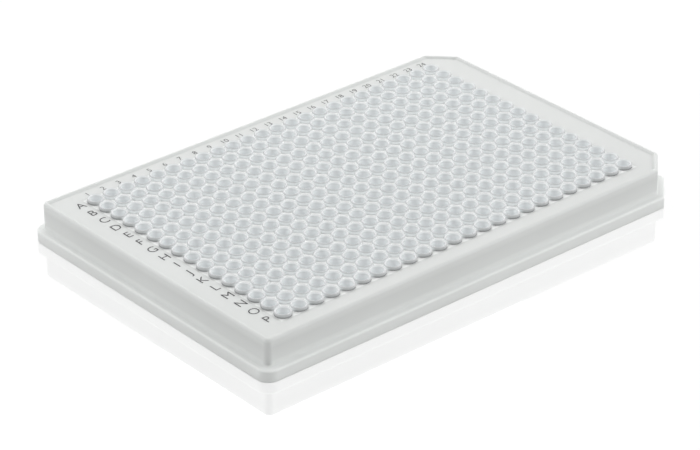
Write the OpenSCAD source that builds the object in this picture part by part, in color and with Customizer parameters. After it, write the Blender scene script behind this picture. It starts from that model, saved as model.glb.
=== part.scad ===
// Skirted 384-well microplate, moulded in two shots: a white frame, and clear wells in it.
// +X runs from column 1 to column 24, +Y from row P to row A, +Z up.
// The origin is the middle of the footprint, on the surface that the plate stands on.

/* [Layout] */
// Number of columns of wells, along X
cols = 24; // [2:1:24]
// Number of rows of wells, along Y
rows = 16; // [2:1:16]
// Distance between the centres of two neighbouring wells
pitch = 4.5; // [4.3:0.1:6]
// Distance from the end of the flange to the centre of the first column
first_col_from_end = 12.13; // [10.5:0.01:16]
// Distance from the side of the flange to the centre of the first row
first_row_from_side = 8.99; // [7.5:0.01:14]

/* [Frame] */
// Height of the deck's top face
deck_top = 9.2; // [7.7:0.05:14]
// Thickness of the deck
deck_t = 1; // [0.6:0.1:1.6]
// Height of the lip that stands round the edge of the deck
lip_rise = 0.55; // [0.3:0.05:0.7]
// Width of the lip
lip_t = 1.5; // [1.1:0.1:2.5]
// Thickness of the skirt walls
skirt_t = 1.1; // [0.8:0.1:1.4]
// Height of the flange round the foot
flange_h = 3; // [2:0.1:4]
// How far the flange stands out from the skirt
flange_ledge = 1.75; // [1.2:0.05:2.2]
// Radius of the flange's two corners at column 1
corner_r = 3.3; // [2.6:0.05:5]
// Leg of the 45 degree cut at the flange's two other corners
corner_cut = 7.15; // [4:0.05:9]
// Radius of the lip's outer edge
deck_edge_r = 0.8; // [0.3:0.05:1]
// Radius of the flange's top edge
flange_edge_r = 0.5; // [0.2:0.05:0.8]

/* [Wells] */
// Diameter of a well's mouth
mouth_d = 3.1; // [2.4:0.05:3.2]
// Depth of the straight bore at the mouth
mouth_depth = 1.5; // [1:0.1:2.5]
// Width of the raised rim round the mouth
rim_t = 0.5; // [0.4:0.05:0.6]
// Height of the rims above the deck
rim_rise = 0.95; // [0.75:0.05:1.5]
// Wall thickness of a well below its rim
well_wall = 0.3; // [0.2:0.02:0.36]
// Inside radius of a well's round bottom
tip_r = 0.6; // [0.4:0.05:0.8]
// Height of the wells' lowest point above the surface that the plate stands on
tip_clearance = 0.7; // [0.4:0.1:1.5]
// Thickness of the web that joins the wells under the deck
web_t = 0.4; // [0.3:0.05:0.8]
// How far the web reaches past the outermost wells
web_margin = 0.5; // [0.2:0.1:0.8]
// Shrinkage gap between a well's neck and its hole in the deck
shrink_gap = 0.05; // [0.02:0.01:0.08]

/* [Hidden] */
$fn = 48;

// Overall sizes
plate_l = (cols - 1) * pitch + 2 * first_col_from_end;
plate_w = (rows - 1) * pitch + 2 * first_row_from_side;
rim_top = deck_top + rim_rise;
lip_top = deck_top + lip_rise;

// Radii at a well
mouth_r = mouth_d / 2;
rim_r = mouth_r + rim_t;
neck_r = mouth_r + well_wall;
hole_r = neck_r + shrink_gap;

// A well's cone runs from the foot of its straight mouth onto the ball of its round bottom.
cone_top_z = rim_top - mouth_depth;
tip_z = tip_clearance + well_wall + tip_r;
cone_angle = acos(tip_r / norm([mouth_r, cone_top_z - tip_z])) - atan2(cone_top_z - tip_z, mouth_r);

// Underside of the deck, which the web lies against
deck_underside = deck_top - deck_t;
// How deep the web reaches into a well's wall, so that the two are one solid
web_bite = well_wall / 3;
// How far a cutting tool stands out of what it cuts
overcut = 1;
// Smallest radius that a round corner of an inner outline keeps
least_corner_r = 0.3;

// A corner cut keeps its distance from a parallel outline, so its leg shrinks by this share of the inset.
cut_share = 2 - sqrt(2);

// Where the cone touches the round bottom, for a ball of radius r about the tip's centre
function cone_foot(r) = [r * cos(cone_angle), tip_z - r * sin(cone_angle)];

// Outline of the footprint, moved inwards by inset: two round corners and two cut corners
module footprint(inset) {
    x = plate_l / 2 - inset;
    y = plate_w / 2 - inset;
    r = max(corner_r - inset, least_corner_r);
    leg = corner_cut - cut_share * inset;
    polygon([
        [-x + r, -y], [x - leg, -y], [x, -y + leg], [x, y - leg],
        [x - leg, y], [-x + r, y], [-x, y - r], [-x, -y + r]
    ]);
    for (side = [-1, 1])
        translate([-x + r, side * (y - r)]) circle(r = r);
}

// Section of a slab that ends at reach, with its upper edge rounded there
module slab_section(reach, height, edge_r) {
    span = plate_l + plate_w;
    translate([-span, 0]) square([span + reach, height - edge_r]);
    translate([-span, 0]) square([span + reach - edge_r, height]);
    translate([reach - edge_r, height - edge_r]) circle(r = edge_r);
}

// Everything below height that lies no further out than reach, in the direction heading
module slab(heading, reach, height, edge_r) {
    width = 2 * (plate_l + plate_w);
    rotate([0, 0, heading])
        translate([0, width / 2, 0])
            rotate([90, 0, 0])
                linear_extrude(width) slab_section(reach, height, edge_r);
}

// A solid block on the footprint's inset outline, with its whole upper edge rounded
module block(inset, height, edge_r) {
    x = plate_l / 2 - inset;
    y = plate_w / 2 - inset;
    cut_reach = (x + y - corner_cut + cut_share * inset) / sqrt(2);
    intersection() {
        linear_extrude(height) footprint(inset);
        slab(0, x, height, edge_r);
        slab(45, cut_reach, height, edge_r);
        slab(90, y, height, edge_r);
        slab(180, x, height, edge_r);
        slab(270, y, height, edge_r);
        slab(315, cut_reach, height, edge_r);
    }
}

// Hollow below the frame, up to height, inside the footprint's inset outline
module hollow(inset, height) {
    translate([0, 0, -overcut]) linear_extrude(overcut + height) footprint(inset);
}

// Its children at each well's place
module at_wells() {
    for (col = [0 : cols - 1], row = [0 : rows - 1])
        translate([(col - (cols - 1) / 2) * pitch, (row - (rows - 1) / 2) * pitch]) children();
}

// Right half of the section plane, where the sections of turned shapes lie
module right_half() {
    translate([0, -plate_w]) square([plate_l, 2 * plate_w]);
}

// Section of the space in a well
module well_space() {
    polygon([
        [0, tip_z], cone_foot(tip_r), [mouth_r, cone_top_z],
        [mouth_r, rim_top + overcut], [0, rim_top + overcut]
    ]);
    intersection() {
        translate([0, tip_z]) circle(r = tip_r);
        right_half();
    }
}

// Section of a well's outside: rim, neck, cone and round bottom
module well_outside() {
    foot = cone_foot(tip_r + well_wall);
    neck_foot_z = foot[1] + (neck_r - foot[0]) / tan(cone_angle);
    polygon([
        [0, tip_z], foot, [neck_r, neck_foot_z], [neck_r, deck_top],
        [rim_r, deck_top], [rim_r, rim_top], [0, rim_top]
    ]);
    intersection() {
        translate([0, tip_z]) circle(r = tip_r + well_wall);
        right_half();
    }
}

module well() {
    rotate_extrude() difference() {
        well_outside();
        well_space();
    }
}

// Thin sheet under the deck that the wells grow out of
module web() {
    margin = 2 * (neck_r + web_margin);
    translate([0, 0, deck_underside - web_t])
        linear_extrude(web_t) difference() {
            square([(cols - 1) * pitch + margin, (rows - 1) * pitch + margin], center = true);
            at_wells() circle(r = neck_r - web_bite);
        }
}

module frame() {
    color("whitesmoke")
    difference() {
        union() {
            block(0, flange_h, flange_edge_r);
            block(flange_ledge, lip_top, deck_edge_r);
        }
        hollow(skirt_t, flange_h - skirt_t);
        hollow(flange_ledge + skirt_t, deck_underside);
        translate([0, 0, deck_top])
            linear_extrude(lip_rise + overcut) footprint(flange_ledge + lip_t);
        translate([0, 0, deck_underside - overcut])
            at_wells() cylinder(r = hole_r, h = deck_t + 2 * overcut);
    }
}

module wells() {
    color("lightcyan", 0.7)
    union() {
        web();
        at_wells() well();
    }
}

frame();
wells();
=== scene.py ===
# A skirted 384-well microplate: white frame, clear wells and printed deck.
# Lengths are in metres, in the part's own frame: +X to column 24, +Y to row A, +Z up.
import math

import bmesh
import bpy
from mathutils import Matrix, Vector


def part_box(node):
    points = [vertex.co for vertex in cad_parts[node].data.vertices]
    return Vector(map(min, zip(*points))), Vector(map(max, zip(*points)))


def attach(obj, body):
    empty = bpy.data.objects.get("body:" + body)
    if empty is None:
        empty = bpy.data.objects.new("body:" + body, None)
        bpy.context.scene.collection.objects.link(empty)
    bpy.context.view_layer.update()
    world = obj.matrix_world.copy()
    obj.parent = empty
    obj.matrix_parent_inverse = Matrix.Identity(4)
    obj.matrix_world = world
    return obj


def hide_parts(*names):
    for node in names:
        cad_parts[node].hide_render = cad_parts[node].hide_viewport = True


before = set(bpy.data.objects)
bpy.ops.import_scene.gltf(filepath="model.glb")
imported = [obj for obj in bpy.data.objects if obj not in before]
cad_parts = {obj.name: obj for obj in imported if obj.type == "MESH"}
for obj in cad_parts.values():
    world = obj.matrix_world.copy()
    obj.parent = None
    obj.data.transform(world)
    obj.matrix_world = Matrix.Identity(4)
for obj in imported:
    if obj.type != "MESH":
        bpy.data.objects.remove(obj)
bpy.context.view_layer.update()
mm = 0.001


# ---------------------------------------------------------------------------------------------
# The frame
# One moulding in white polycarbonate with a satin finish: a deck with a round hole for each well
# and a low lip about its edge, on a skirt and a stepped flange. It is hollow below, and its two
# corners at column 24 are cut off at 45 degrees.
# ---------------------------------------------------------------------------------------------
COLUMNS, ROWS, PITCH = 24, 16, 4.5 * mm
MOUTH_R = 1.55 * mm
well_wall = 0.3 * mm
shrink_gap = 0.05 * mm  # between a well's neck and its hole
NECK_R = MOUTH_R + well_wall
HOLE_R = NECK_R + shrink_gap

half_length, half_width, lip_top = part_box("frame")[1]
lip_rise = 0.55 * mm
lip_width = 1.5 * mm
lip_slope = 0.8 * mm
deck_top = lip_top - lip_rise
deck_thickness = 1.0 * mm
deck_underside = deck_top - deck_thickness
skirt_wall = 1.1 * mm
flange_height = 3.0 * mm
flange_ledge = 1.75 * mm
corner_radius = 3.3 * mm
corner_cut = 7.15 * mm
cut_edge_radius = 0.6 * mm
least_corner_radius = 0.35 * mm
deck_edge_radius = 0.8 * mm
flange_edge_radius = 0.5 * mm
ledge_root_radius = 0.5 * mm
foot_edge_radius = 0.15 * mm
HOLE_SIDES = 16
ARC_STEPS = 10
ROUND_CORNERS = (0, 5)  # places of the two round corners in the footprint
skirt_corner_shade, flange_corner_shade = 1.0, 0.3  # how much of the painted shade on the round corners each of them shows
weld_distance = 0.002 * mm


def rounded_ring(corners, radii):
    """Points of a closed convex outline, anticlockwise, with each corner rounded by its radius."""
    ring = []
    for i, corner in enumerate(corners):
        back = (corners[i - 1] - corner).normalized()
        ahead = (corners[(i + 1) % len(corners)] - corner).normalized()
        half_angle = back.angle(ahead) / 2
        centre = corner + (back + ahead).normalized() * radii[i] / math.sin(half_angle)
        start = corner + back * radii[i] / math.tan(half_angle) - centre
        turn = math.pi - 2 * half_angle
        for k in range(ARC_STEPS + 1):
            a = turn * k / ARC_STEPS
            ring.append(centre + Vector((start.x * math.cos(a) - start.y * math.sin(a),
                                         start.x * math.sin(a) + start.y * math.cos(a))))
    return ring


def footprint(inset):
    """The plate's outline moved inwards: round corners at column 1, cut corners at column 24."""
    x, y = half_length - inset, half_width - inset
    leg = corner_cut - (2 - math.sqrt(2)) * inset
    corners = ((-x, -y), (x - leg, -y), (x, -y + leg), (x, y - leg), (x - leg, y), (-x, y))
    round_r = max(corner_radius - inset, least_corner_radius)
    radii = [round_r] + [cut_edge_radius] * 4 + [round_r]
    return rounded_ring([Vector(p) for p in corners], radii)


def quarter(inset, z, radius, start, turn, steps):
    """Points (inset, z) of an arc in the shell's section, about its centre; angles in degrees."""
    angles = [math.radians(start + turn * k / steps) for k in range(steps + 1)]
    return [(inset + radius * math.cos(a), z + radius * math.sin(a)) for a in angles]


def lip_inside(crest, root, steps):
    """Points of the lip's inner side, a soft double curve that falls from its crest to the deck."""
    return [(crest + (root - crest) * k / steps,
             deck_top + lip_rise * (1 + math.cos(math.pi * k / steps)) / 2)
            for k in range(1, steps + 1)]


inner_skirt = flange_ledge + skirt_wall
inner_flange_top = flange_height - skirt_wall
inner_lip = flange_ledge + lip_width
support = 0.15 * mm  # spacing of the extra edge loops that keep the flats flat
shell_section = (  # down the inside, under the foot, up the outside and over the lip
    [(inner_skirt, deck_underside), (inner_skirt, inner_flange_top), (skirt_wall, inner_flange_top)]
    + quarter(skirt_wall - foot_edge_radius, foot_edge_radius, foot_edge_radius, 0, -90, steps=2)
    + quarter(foot_edge_radius, foot_edge_radius, foot_edge_radius, -90, -90, steps=2)
    + [(0, foot_edge_radius + support), (0, flange_height - flange_edge_radius - support)]
    + quarter(flange_edge_radius, flange_height - flange_edge_radius, flange_edge_radius,
              180, -90, steps=5)
    + quarter(flange_ledge - ledge_root_radius, flange_height + ledge_root_radius,
              ledge_root_radius, -90, 90, steps=3)
    + [(flange_ledge, flange_height + ledge_root_radius + support),
       (flange_ledge, lip_top - deck_edge_radius - support)]
    + quarter(flange_ledge + deck_edge_radius, lip_top - deck_edge_radius, deck_edge_radius,
              180, -90, steps=7)
    + lip_inside(inner_lip - lip_slope, inner_lip, steps=7)
    + [(inner_lip + support, deck_top)]
)


def hole_rim(radius):
    """Points at equal angles on a round hole, and on the edge of the square cell about it."""
    hole, edge = [], []
    for k in range(HOLE_SIDES):
        a = 2 * math.pi * k / HOLE_SIDES
        reach = PITCH / 2 / max(abs(math.cos(a)), abs(math.sin(a)))
        hole.append((radius * math.cos(a), radius * math.sin(a)))
        edge.append((reach * math.cos(a), reach * math.sin(a)))
    return hole, edge


def pierced_cell(name, radius, low, high):
    """A square tile of sheet, one pitch wide, from low to high, with a round hole through it."""
    bm = bmesh.new()
    low_hole, low_edge, high_hole, high_edge = (
        [bm.verts.new((x, y, z)) for x, y in ring]
        for z in (low, high) for ring in hole_rim(radius))
    for k in range(HOLE_SIDES):
        n = (k + 1) % HOLE_SIDES
        bm.faces.new((high_hole[k], high_edge[k], high_edge[n], high_hole[n]))
        bm.faces.new((low_hole[k], low_hole[n], low_edge[n], low_edge[k]))
        bm.faces.new((low_hole[k], high_hole[k], high_hole[n], low_hole[n]))
    mesh = bpy.data.meshes.new(name)
    bm.to_mesh(mesh)
    bm.free()
    return bpy.data.objects.new(name, mesh)


def field_ring(bm, z):
    """Vertices round the field of square cells, anticlockwise, where the cells have theirs."""
    cell_steps = HOLE_SIDES // 4
    angles = [math.radians(-45 + 90 * k / cell_steps) for k in range(cell_steps)]
    offsets = [math.tan(a) * PITCH / 2 for a in angles]
    ring = []
    for along, across, (ux, uy), (vx, vy) in (
        (COLUMNS, ROWS, (1, 0), (0, -1)), (ROWS, COLUMNS, (0, 1), (1, 0)),
        (COLUMNS, ROWS, (-1, 0), (0, 1)), (ROWS, COLUMNS, (0, -1), (-1, 0)),
    ):
        for cell in range(along):
            for offset in offsets:
                s = (cell - (along - 1) / 2) * PITCH + offset
                t = across * PITCH / 2
                ring.append(bm.verts.new((ux * s + vx * t, uy * s + vy * t, z)))
    return ring


def closed_edges(bm, ring):
    """Edges that join a ring of vertices."""
    return [bm.edges.get((a, b)) or bm.edges.new((a, b)) for a, b in zip(ring, ring[1:] + ring[:1])]


bm = bmesh.new()
# Each vertex keeps how much painted shade its round corner takes.
corner_shade_layer = bm.verts.layers.float.new("corner_post")
rings = []
for inset, z in shell_section:
    ring = [bm.verts.new((p.x, p.y, z)) for p in footprint(inset)]
    post = skirt_corner_shade if inset == flange_ledge else flange_corner_shade if inset == 0 else 0.0
    for k, vert in enumerate(ring):
        corner, step = divmod(k, ARC_STEPS + 1)
        if corner in ROUND_CORNERS:
            vert[corner_shade_layer] = post * math.sin(math.pi * step / ARC_STEPS)
    rings.append(ring)
for lower, upper in zip(rings, rings[1:]):
    for k in range(len(lower)):
        n = (k + 1) % len(lower)
        bm.faces.new((lower[k], lower[n], upper[n], upper[k]))
for border, z in ((rings[-1], deck_top), (rings[0], deck_underside)):
    edges = closed_edges(bm, border) + closed_edges(bm, field_ring(bm, z))
    bmesh.ops.triangle_fill(bm, edges=edges, use_beauty=True, use_dissolve=False)
bmesh.ops.recalc_face_normals(bm, faces=bm.faces)
frame_mesh = bpy.data.meshes.new("white_frame")
bm.to_mesh(frame_mesh)
bm.free()
white_frame = bpy.data.objects.new("white_frame", frame_mesh)
bpy.context.scene.collection.objects.link(white_frame)
deck_cell = pierced_cell("deck_cell", HOLE_R, deck_underside, deck_top)


def grid_tree():
    """Geometry Nodes tree that repeats a piece on the well grid and joins it to a given mesh."""
    tree = bpy.data.node_groups.new("repeat on the well grid", "GeometryNodeTree")
    for name, kind in (("Geometry", "Geometry"), ("Piece", "Object"), ("Columns", "Int"),
                       ("Rows", "Int"), ("Pitch", "Float"), ("Weld", "Float"),
                       ("Material", "Material")):
        tree.interface.new_socket(name, in_out="INPUT", socket_type="NodeSocket" + kind)
    tree.interface.new_socket("Geometry", in_out="OUTPUT", socket_type="NodeSocketGeometry")
    new, link = tree.nodes.new, tree.links.new
    given, result = new("NodeGroupInput"), new("NodeGroupOutput")
    grid, piece = new("GeometryNodeMeshGrid"), new("GeometryNodeObjectInfo")
    place, real = new("GeometryNodeInstanceOnPoints"), new("GeometryNodeRealizeInstances")
    join, weld = new("GeometryNodeJoinGeometry"), new("GeometryNodeMergeByDistance")
    finish = new("GeometryNodeSetMaterial")
    for count, size in (("Columns", "Size X"), ("Rows", "Size Y")):
        gaps, span = new("ShaderNodeMath"), new("ShaderNodeMath")
        gaps.operation, span.operation = "SUBTRACT", "MULTIPLY"
        gaps.inputs[1].default_value = 1
        link(given.outputs[count], gaps.inputs[0])
        link(gaps.outputs[0], span.inputs[0])
        link(given.outputs["Pitch"], span.inputs[1])
        link(span.outputs[0], grid.inputs[size])
    link(given.outputs["Columns"], grid.inputs["Vertices X"])
    link(given.outputs["Rows"], grid.inputs["Vertices Y"])
    link(given.outputs["Piece"], piece.inputs["Object"])
    link(grid.outputs["Mesh"], place.inputs["Points"])
    link(piece.outputs["Geometry"], place.inputs["Instance"])
    link(place.outputs["Instances"], real.inputs["Geometry"])
    link(real.outputs["Geometry"], join.inputs["Geometry"])
    link(given.outputs["Geometry"], join.inputs["Geometry"])
    link(join.outputs["Geometry"], weld.inputs["Geometry"])
    link(given.outputs["Weld"], weld.inputs["Distance"])
    link(weld.outputs["Geometry"], finish.inputs["Geometry"])
    link(given.outputs["Material"], finish.inputs["Material"])
    link(finish.outputs["Geometry"], result.inputs["Geometry"])
    return tree


WELL_GRID = grid_tree()


def repeat_on_grid(obj, piece, material):
    """Joins a copy of piece at every well to obj, as plain mesh, with the finish given."""
    modifier = obj.modifiers.new("well grid", "NODES")
    modifier.node_group = WELL_GRID
    values = {"Piece": piece, "Columns": COLUMNS, "Rows": ROWS, "Pitch": PITCH,
              "Weld": weld_distance, "Material": material}
    for item in WELL_GRID.interface.items_tree:
        if item.in_out == "INPUT" and item.name in values:
            modifier[item.identifier] = values[item.name]
    seen = obj.evaluated_get(bpy.context.evaluated_depsgraph_get())
    plain = bpy.data.meshes.new_from_object(seen)
    obj.modifiers.remove(modifier)
    obj.data = plain
    plain.name = obj.name
    bpy.data.objects.remove(piece)


def shade_by_angle(obj, degrees):
    """Smooth shading, with the edges left crisp where two faces meet at more than the angle."""
    mesh = obj.data
    mesh.polygons.foreach_set("use_smooth", [True] * len(mesh.polygons))
    mesh.set_sharp_from_angle(angle=math.radians(degrees))


def new_material(name, **values):
    """A node material with the named values set on its Principled shader, and that shader."""
    material = bpy.data.materials.new(name)
    material.use_nodes = True
    shader = material.node_tree.nodes["Principled BSDF"]
    for key, value in values.items():
        shader.inputs[key.replace("_", " ")].default_value = value
    return material, shader


def add_grain(material, shader, scale, height, roughness):
    """Fine moulded grain and a slow drift of the roughness; gives the place and the drift."""
    nodes, link = material.node_tree.nodes, material.node_tree.links.new
    place = nodes.new("ShaderNodeTexCoord").outputs["Object"]
    grain, bump = nodes.new("ShaderNodeTexNoise"), nodes.new("ShaderNodeBump")
    grain.inputs["Scale"].default_value = scale
    grain.inputs["Detail"].default_value = 3
    bump.inputs["Distance"].default_value = height
    link(place, grain.inputs["Vector"])
    link(grain.outputs["Fac"], bump.inputs["Height"])
    link(bump.outputs["Normal"], shader.inputs["Normal"])
    drift, span = nodes.new("ShaderNodeTexNoise"), nodes.new("ShaderNodeMapRange")
    drift.inputs["Scale"].default_value = 45
    drift.inputs["Detail"].default_value = 2
    span.inputs["To Min"].default_value, span.inputs["To Max"].default_value = roughness
    link(place, drift.inputs["Vector"])
    link(drift.outputs["Fac"], span.inputs["Value"])
    link(span.outputs["Result"], shader.inputs["Roughness"])
    return place, drift.outputs["Fac"]


def colour_ramp(material, source, stops):
    """The colour that a node's output picks from a ramp, with stops of (position, (r, g, b))."""
    ramp = material.node_tree.nodes.new("ShaderNodeValToRGB")
    elements = ramp.color_ramp.elements
    while len(elements) < len(stops):
        elements.new(0.5)
    for element, (position, colour) in zip(elements, stops):
        element.position, element.color = position, (*colour, 1)
    material.node_tree.links.new(source, ramp.inputs["Fac"])
    return ramp.outputs["Color"]


def drifting(material, drift, darker, paler):
    """A finish's colour, which wanders slowly between two shades."""
    return colour_ramp(material, drift, [(0.3, darker), (0.7, paler)])


def blend_colours(material, share, first, second):
    """The first colour turned into the second by a share, which is a node's output."""
    mix = material.node_tree.nodes.new("ShaderNodeMix")
    mix.data_type = "RGBA"
    link = material.node_tree.links.new
    link(share, mix.inputs["Factor"])
    link(first, mix.inputs["A"])
    link(second, mix.inputs["B"])
    return mix.outputs["Result"]


def beyond_field(material, place, start, end):
    """How far a place lies past the outermost wells' centres: 0 at start, 1 at end, in metres."""
    nodes, link = material.node_tree.nodes, material.node_tree.links.new
    size, past = nodes.new("ShaderNodeVectorMath"), nodes.new("ShaderNodeVectorMath")
    size.operation, past.operation = "ABSOLUTE", "SUBTRACT"
    past.inputs[1].default_value = ((COLUMNS - 1) / 2 * PITCH, (ROWS - 1) / 2 * PITCH, 0)
    split, furthest = nodes.new("ShaderNodeSeparateXYZ"), nodes.new("ShaderNodeMath")
    share = nodes.new("ShaderNodeMapRange")
    furthest.operation = "MAXIMUM"
    share.interpolation_type = "SMOOTHSTEP"
    share.inputs["From Min"].default_value, share.inputs["From Max"].default_value = start, end
    link(place, size.inputs[0])
    link(size.outputs["Vector"], past.inputs[0])
    link(past.outputs["Vector"], split.inputs["Vector"])
    link(split.outputs["X"], furthest.inputs[0])
    link(split.outputs["Y"], furthest.inputs[1])
    link(furthest.outputs["Value"], share.inputs["Value"])
    return share.outputs["Result"]


def along_height(material, place, top, stops):
    """A share that follows a place's height, with stops of (part of the way up to top, share)."""
    nodes, link = material.node_tree.nodes, material.node_tree.links.new
    split, part = nodes.new("ShaderNodeSeparateXYZ"), nodes.new("ShaderNodeMapRange")
    part.inputs["From Max"].default_value = top
    link(place, split.inputs["Vector"])
    link(split.outputs["Z"], part.inputs["Value"])
    greys = [(where, (share,) * 3) for where, share in stops]
    return colour_ramp(material, part.outputs["Result"], greys)


def attribute(material, name):
    """The value of one of the mesh's own attributes."""
    node = material.node_tree.nodes.new("ShaderNodeAttribute")
    node.attribute_name = name
    return node.outputs["Fac"]


white_plastic, shader = new_material("white polycarbonate", IOR=1.5, Subsurface_Weight=1,
                                     Subsurface_Radius=(1, 1, 1), Subsurface_Scale=0.8 * mm)
place, drift = add_grain(white_plastic, shader, scale=2500, height=0.01 * mm, roughness=(0.42, 0.5))
open_deck = drifting(white_plastic, drift, (0.583, 0.595, 0.586), (0.603, 0.615, 0.606))
# The deck between the wells is painted far paler than the open deck: painted light, for light let
# through by the clear wells.
painted_light_between_wells = drifting(white_plastic, drift, (0.941, 0.960, 0.946), (0.960, 0.980, 0.965))
# The round corners at column 1 are painted darker than the walls beside them: painted shade.
corner_shade_colour = drifting(white_plastic, drift, (0.598, 0.610, 0.601), (0.617, 0.630, 0.621))
# The flange and its ledge are painted paler than the deck, the skirt and deck less so: painted
# light.
painted_foot_light = drifting(white_plastic, drift, (0.784, 0.800, 0.788), (0.804, 0.820, 0.808))
wall_tone_top = 10 * mm
wall_tones = [  # part of the way up to that height, and the share of the painted light of the foot there
    (0, 0.65), (0.24, 0.65),  # the flange's side
    (0.3, 1), (0.35, 1),  # its ledge
    (0.45, 0.42), (0.75, 0.08),  # the skirt
    (0.85, 0.3),  # the deck and its lip
]
field_fade = (1.9 * mm, 2.4 * mm)  # where the painted light on the deck between the wells gives way to the open deck
past_wells = beyond_field(white_plastic, place, *field_fade)
deck_colour = blend_colours(white_plastic, past_wells, painted_light_between_wells, open_deck)
foot_light_share = along_height(white_plastic, place, wall_tone_top, wall_tones)
wall_colour = blend_colours(white_plastic, foot_light_share, deck_colour, painted_foot_light)
corner_post = attribute(white_plastic, "corner_post")
frame_colour = blend_colours(white_plastic, corner_post, wall_colour, corner_shade_colour)
white_plastic.node_tree.links.new(frame_colour, shader.inputs["Base Color"])
repeat_on_grid(white_frame, deck_cell, white_plastic)
shade_by_angle(white_frame, degrees=32)
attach(white_frame, "root")
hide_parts("frame")


# ---------------------------------------------------------------------------------------------
# The wells
# 384 thin conical tubes in natural polypropylene, moulded through the holes of the frame in a
# second shot. Each has a flat rim that stands above the deck; a thin web under the deck joins them.
# ---------------------------------------------------------------------------------------------
wells_low, wells_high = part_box("wells")
tip_low = wells_low.z
web_half_length, web_half_width, rim_top = wells_high
rim_width = 0.5 * mm
RIM_R = MOUTH_R + rim_width
rim_edge_radius = 0.12 * mm
mouth_edge_radius = 0.34 * mm
mouth_depth = 1.5 * mm
tip_radius = 0.6 * mm
web_thickness = 0.4 * mm
web_bite = 0.1 * mm  # how far the web reaches into a tube's wall
collar_shade_height = 0.45 * mm
edge_shade_depth = 0.8 * mm  # where the shade of the mouth's edge has faded into the bore
seat_gap = 0.01 * mm  # keeps the wells off the deck's two faces
border_fade = (0.2 * mm, 1.3 * mm)  # where a tube among others gives way to the painted shadow on the border's open side
WELL_SIDES = 18

tip_z = tip_low + well_wall + tip_radius
cone_top_z = rim_top - mouth_depth
cone_angle = (math.acos(tip_radius / math.hypot(MOUTH_R, cone_top_z - tip_z))
              - math.atan2(cone_top_z - tip_z, MOUTH_R))


def on_tip(radius, degrees):
    """A point (r, z) on the ball of the round bottom, at an angle below the cone's foot."""
    a = cone_angle + math.radians(degrees)
    return radius * math.cos(a), tip_z - radius * math.sin(a)


outer_foot = on_tip(tip_radius + well_wall, 0)
neck_foot_z = outer_foot[1] + (NECK_R - outer_foot[0]) / math.tan(cone_angle)
mouth_mid = mouth_edge_radius * (1 - math.sqrt(0.5))
BORE, MOUTH_EDGE, RIM, COLLAR, FOOT = 0.35, 0.5, 0.65, 0.85, 1.0  # places on the ramps of painted light and shade
well_section = [  # radius, height and tone: over the rim, down the bore and up the outside
    (RIM_R, deck_top + seat_gap, FOOT),
    (RIM_R, deck_top + collar_shade_height, COLLAR),
    (RIM_R, rim_top - rim_edge_radius, RIM),
    (RIM_R - rim_edge_radius, rim_top, RIM),
    (MOUTH_R + mouth_edge_radius, rim_top, RIM),
    (MOUTH_R + mouth_mid, rim_top - mouth_mid, MOUTH_EDGE),
    (MOUTH_R, rim_top - mouth_edge_radius, MOUTH_EDGE),
    (MOUTH_R, rim_top - edge_shade_depth, BORE),
    (MOUTH_R, cone_top_z, BORE),
    (*on_tip(tip_radius, 0), BORE),
    (0, tip_z - tip_radius, BORE),
    (0, tip_low, BORE),
    (*on_tip(tip_radius + well_wall, 45), BORE),
    (*outer_foot, BORE),
    (NECK_R, neck_foot_z, BORE),
    (NECK_R, deck_top + seat_gap, BORE),
]


def turned(name, section, sides):
    """A closed solid turned round the Z axis from its section's points, with its poles at r = 0."""
    bm = bmesh.new()
    layer = bm.verts.layers.float.new("tone")
    loops = []
    for r, z, tone in section:
        turns = [2 * math.pi * k / sides for k in range(sides if r else 1)]
        loops.append([bm.verts.new((r * math.cos(a), r * math.sin(a), z)) for a in turns])
        for vert in loops[-1]:
            vert[layer] = tone
    for a, b in zip(loops, loops[1:] + loops[:1]):
        if len(a) == len(b) == 1:
            continue
        for k in range(sides):
            n = (k + 1) % sides
            corners = [a[k % len(a)], a[n % len(a)], b[n % len(b)], b[k % len(b)]]
            bm.faces.new(list(dict.fromkeys(corners)))
    bmesh.ops.recalc_face_normals(bm, faces=bm.faces)
    mesh = bpy.data.meshes.new(name)
    bm.to_mesh(mesh)
    bm.free()
    return bpy.data.objects.new(name, mesh)


clear_plastic, shader = new_material("natural polypropylene", IOR=1.49)
place, _ = add_grain(clear_plastic, shader, scale=1200, height=0.004 * mm, roughness=(0.18, 0.26))
# The wells' colours are painted light and shade for light seen through the clear plastic: pale
# bores, darker mouth edges and rims, and pale collars among other wells.
tube_light_and_shade = [(BORE, (0.970, 0.992, 1.000)), (MOUTH_EDGE, (0.815, 0.833, 0.840)),
              (RIM, (0.621, 0.635, 0.640))]
field_light_and_shade = tube_light_and_shade + [(COLLAR, (0.931, 0.952, 0.960)), (FOOT, (0.941, 0.962, 0.970))]
# The collars of the wells at the border are painted dark towards the foot on their open side:
# painted shadow.
border_painted_shadow = tube_light_and_shade + [(COLLAR, (0.582, 0.595, 0.600)), (FOOT, (0.233, 0.238, 0.240))]
tone = attribute(clear_plastic, "tone")
light_and_shade_among_wells = colour_ramp(clear_plastic, tone, field_light_and_shade)
painted_shadow_at_border = colour_ramp(clear_plastic, tone, border_painted_shadow)
border_shadow_share = beyond_field(clear_plastic, place, *border_fade)
well_colour = blend_colours(clear_plastic, border_shadow_share, light_and_shade_among_wells, painted_shadow_at_border)
clear_plastic.node_tree.links.new(well_colour, shader.inputs["Base Color"])

wells = bpy.data.objects.new("wells_moulding", bpy.data.meshes.new("wells_moulding"))
bpy.context.scene.collection.objects.link(wells)
repeat_on_grid(wells, turned("one_well", well_section, WELL_SIDES), clear_plastic)
shade_by_angle(wells, degrees=50)
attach(wells, "root")
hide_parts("wells")

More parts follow.
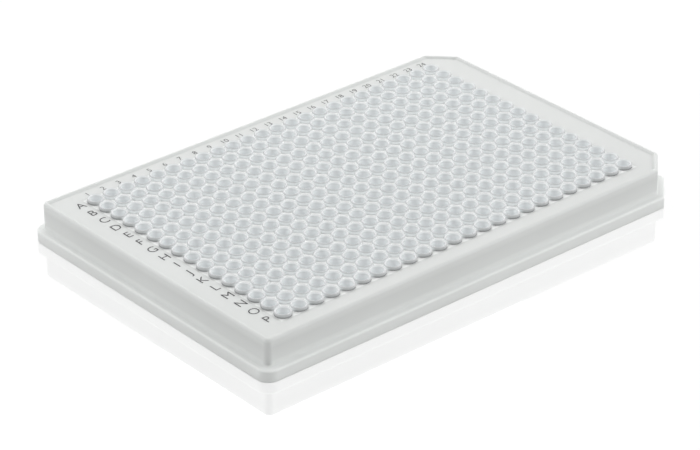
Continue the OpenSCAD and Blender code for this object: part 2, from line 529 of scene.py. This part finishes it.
web_low, web_high = deck_underside - web_thickness, deck_underside - seat_gap
bm = bmesh.new()
edge_rings = []
for z in (web_low, web_high):
    corners = [bm.verts.new((side_x * web_half_length, side_y * web_half_width, z))
               for side_x, side_y in ((-1, -1), (1, -1), (1, 1), (-1, 1))]
    edge_rings.append(corners)
    edges = closed_edges(bm, corners) + closed_edges(bm, field_ring(bm, z))
    bmesh.ops.triangle_fill(bm, edges=edges, use_beauty=True, use_dissolve=False)
for k in range(4):
    n = (k + 1) % 4
    bm.faces.new((edge_rings[0][k], edge_rings[0][n], edge_rings[1][n], edge_rings[1][k]))
bmesh.ops.recalc_face_normals(bm, faces=bm.faces)
web_mesh = bpy.data.meshes.new("wells_web")
bm.to_mesh(web_mesh)
bm.free()
web = bpy.data.objects.new("wells_web", web_mesh)
bpy.context.scene.collection.objects.link(web)
repeat_on_grid(web, pierced_cell("web_cell", NECK_R - web_bite, web_low, web_high), clear_plastic)
shade_by_angle(web, degrees=32)
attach(web, "root")
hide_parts("wells")


# ---------------------------------------------------------------------------------------------
# The print
# Row letters A to P beside column 1 and column numbers 1 to 24 behind row A, pad-printed on the
# deck in black.
# ---------------------------------------------------------------------------------------------
letter_size = 3.55 * mm
number_size = 2.3 * mm
print_margin = 4.0 * mm  # from the centres of column 1 and row A to the middle of the print
letter_column_x = -(COLUMNS - 1) / 2 * PITCH - print_margin
number_row_y = (ROWS - 1) / 2 * PITCH + print_margin
letter_raise = 0.4 * mm
number_shift = 0.5 * mm
ink_lift = 0.02 * mm
letter_thinning, number_thinning = 0.0075, 0.01  # share of the size taken off each side of a stroke


def printed(text, x, y, size, thinning):
    """One printed character or number as flat mesh on the deck, centred at x, y."""
    curve = bpy.data.curves.new("type", "FONT")
    curve.body = text
    curve.size = size
    curve.align_x = "CENTER"
    curve.align_y = "CENTER"
    curve.offset = -thinning * size
    curve.resolution_u = 4
    holder = bpy.data.objects.new("type", curve)
    bpy.context.scene.collection.objects.link(holder)
    bpy.context.view_layer.update()
    seen = holder.evaluated_get(bpy.context.evaluated_depsgraph_get())
    mesh = bpy.data.meshes.new_from_object(seen)
    bpy.data.objects.remove(holder)
    bpy.data.curves.remove(curve)
    mesh.transform(Matrix.Translation((x, y, deck_top + ink_lift)))
    return mesh


bm = bmesh.new()
for row in range(ROWS):
    y = ((ROWS - 1) / 2 - row) * PITCH + letter_raise
    bm.from_mesh(printed(chr(ord("A") + row), letter_column_x, y, letter_size, letter_thinning))
for column in range(COLUMNS):
    x = (column - (COLUMNS - 1) / 2) * PITCH + number_shift
    bm.from_mesh(printed(str(column + 1), x, number_row_y, number_size, number_thinning))
for face in bm.faces:
    if face.normal.z < 0:
        face.normal_flip()
print_mesh = bpy.data.meshes.new("deck_print")
bm.to_mesh(print_mesh)
bm.free()
deck_print = bpy.data.objects.new("deck_print", print_mesh)
bpy.context.scene.collection.objects.link(deck_print)
ink, shader = new_material("black pad print", IOR=1.45)
_, drift = add_grain(ink, shader, scale=3000, height=0.004 * mm, roughness=(0.45, 0.6))
ink_colour = drifting(ink, drift, (0.02, 0.02, 0.022), (0.04, 0.04, 0.045))
ink.node_tree.links.new(ink_colour, shader.inputs["Base Color"])
print_mesh.materials.append(ink)
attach(deck_print, "root")


# ---------------------------------------------------------------------------------------------
# The studio
# A white sweep under soft boxes, and the camera above the front corner at P1.
# ---------------------------------------------------------------------------------------------
scene = bpy.context.scene
scene.view_settings.view_transform = "Standard"

floor_reach = 3
bm = bmesh.new()
bmesh.ops.create_grid(bm, x_segments=1, y_segments=1, size=floor_reach)
floor_mesh = bpy.data.meshes.new("floor")
bm.to_mesh(floor_mesh)
bm.free()
floor = bpy.data.objects.new("floor", floor_mesh)
scene.collection.objects.link(floor)
floor_paint, shader = new_material("white floor", Base_Color=(0.97, 0.97, 0.97, 1), Roughness=0.5)
floor_mesh.materials.append(floor_paint)
nodes, link = floor_paint.node_tree.nodes, floor_paint.node_tree.links.new
white, mirror = nodes.new("ShaderNodeEmission"), nodes.new("ShaderNodeBsdfGlossy")
white.inputs["Strength"].default_value = 1.02
mirror.inputs["Color"].default_value = (1, 1, 1, 1)
mirror.inputs["Roughness"].default_value = 0.04
shaded, polished = nodes.new("ShaderNodeMixShader"), nodes.new("ShaderNodeMixShader")
shaded.inputs["Fac"].default_value = 0.14
polished.inputs["Fac"].default_value = 0.32
seen, swap = nodes.new("ShaderNodeLightPath"), nodes.new("ShaderNodeMixShader")
link(white.outputs[0], shaded.inputs[1])
link(shader.outputs[0], shaded.inputs[2])
link(shaded.outputs[0], polished.inputs[1])
link(mirror.outputs[0], polished.inputs[2])
link(seen.outputs["Is Camera Ray"], swap.inputs["Fac"])
link(shader.outputs[0], swap.inputs[1])
link(polished.outputs[0], swap.inputs[2])
link(swap.outputs[0], nodes["Material Output"].inputs["Surface"])

world = bpy.data.worlds.new("studio")
scene.world = world
world.use_nodes = True
nodes, link = world.node_tree.nodes, world.node_tree.links.new
background = nodes["Background"]
background.inputs["Color"].default_value = (1, 1, 1, 1)
background.inputs["Strength"].default_value = 0.49
backdrop, swap = nodes.new("ShaderNodeBackground"), nodes.new("ShaderNodeMixShader")
backdrop.inputs["Color"].default_value = (1, 1, 1, 1)
backdrop.inputs["Strength"].default_value = 1.0
seen, either = nodes.new("ShaderNodeLightPath"), nodes.new("ShaderNodeMath")
either.operation = "MAXIMUM"
link(seen.outputs["Is Camera Ray"], either.inputs[0])
link(seen.outputs["Is Glossy Ray"], either.inputs[1])
link(either.outputs[0], swap.inputs["Fac"])
link(background.outputs[0], swap.inputs[1])
link(backdrop.outputs[0], swap.inputs[2])
link(swap.outputs[0], nodes["World Output"].inputs["Surface"])


def bearing(azimuth, elevation):
    """A direction from the plate, with angles in radians; azimuth 0 is in front of row P."""
    return Vector((math.sin(azimuth) * math.cos(elevation),
                   -math.cos(azimuth) * math.cos(elevation), math.sin(elevation)))


def soft_box(name, azimuth, elevation, distance, size, power):
    """A square area lamp aimed at the plate, from the bearing given in degrees."""
    back = bearing(math.radians(azimuth), math.radians(elevation))
    data = bpy.data.lights.new(name, "AREA")
    data.size = size
    data.energy = power
    lamp = bpy.data.objects.new(name, data)
    lamp.location = back * distance
    lamp.rotation_mode = "QUATERNION"
    lamp.rotation_quaternion = back.to_track_quat("Z", "Y")
    scene.collection.objects.link(lamp)


soft_box("key_soft_box", azimuth=155, elevation=58, distance=0.36, size=0.3, power=0.46)
soft_box("left_soft_box", azimuth=-130, elevation=35, distance=2, size=1.4, power=12)
soft_box("right_soft_box", azimuth=50, elevation=35, distance=2, size=1.4, power=17)

view_azimuth, view_elevation = math.radians(-40.518), math.radians(28.953)
view_roll = math.radians(-0.281)
view_distance = 720.145 * mm
aim = Vector((-4.25 * mm, -0.524 * mm, 0))
back = bearing(view_azimuth, view_elevation)
right = Vector((math.cos(view_azimuth), math.sin(view_azimuth), 0))
up = back.cross(right)
camera = bpy.data.objects.new("camera", bpy.data.cameras.new("camera"))
camera.data.sensor_width = 36
camera.data.lens = 159.064
camera.data.clip_start, camera.data.clip_end = 0.05, 20
across = right * math.cos(view_roll) + up * math.sin(view_roll)
upright = up * math.cos(view_roll) - right * math.sin(view_roll)
turn = Matrix((across, upright, back)).transposed()
camera.matrix_world = Matrix.Translation(aim + back * view_distance) @ turn.to_4x4()
scene.collection.objects.link(camera)
scene.camera = camera
